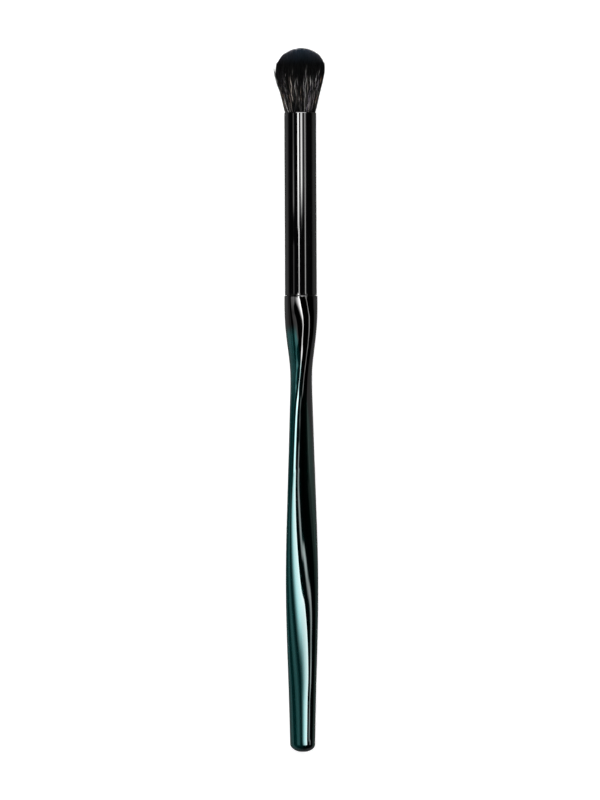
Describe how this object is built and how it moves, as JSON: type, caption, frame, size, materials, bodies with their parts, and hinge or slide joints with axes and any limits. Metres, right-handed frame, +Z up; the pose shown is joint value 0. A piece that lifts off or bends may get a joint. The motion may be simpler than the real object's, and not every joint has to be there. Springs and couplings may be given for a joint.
{
  "type": "blending brush",
  "caption": "Make-up blending brush with a domed tuft, a long round ferrule and an oval handle that twists along its length.",
  "frame": {"origin": "middle of the brush's footprint on the table that it lies on, at the table's height", "axes": "+X along the brush from the end of its handle to its tuft; +Z up, towards the side that the picture shows; +Y towards the picture's left"},
  "size_m": [0.1768, 0.0122, 0.0117],
  "materials": {
    "metallic_lacquer": "dark teal metallic lacquer under a gloss clear coat, fading to black at the neck",
    "black_enamel": "gloss black enamel on a drawn aluminium tube",
    "hair_fibre": "soft blue-black fine synthetic hair",
    "cotton": "plain undyed thread",
    "resin": "clear amber cast resin",
    "set_glue": "set white glue"
  },
  "bodies": {
    "root": {"handle": "metallic_lacquer", "ferrule": "black_enamel", "bristle_tuft": "hair_fibre", "binding_thread": "cotton", "root_plug": "resin", "tenon_glue": "set_glue"}
  },
  "joints": []
}
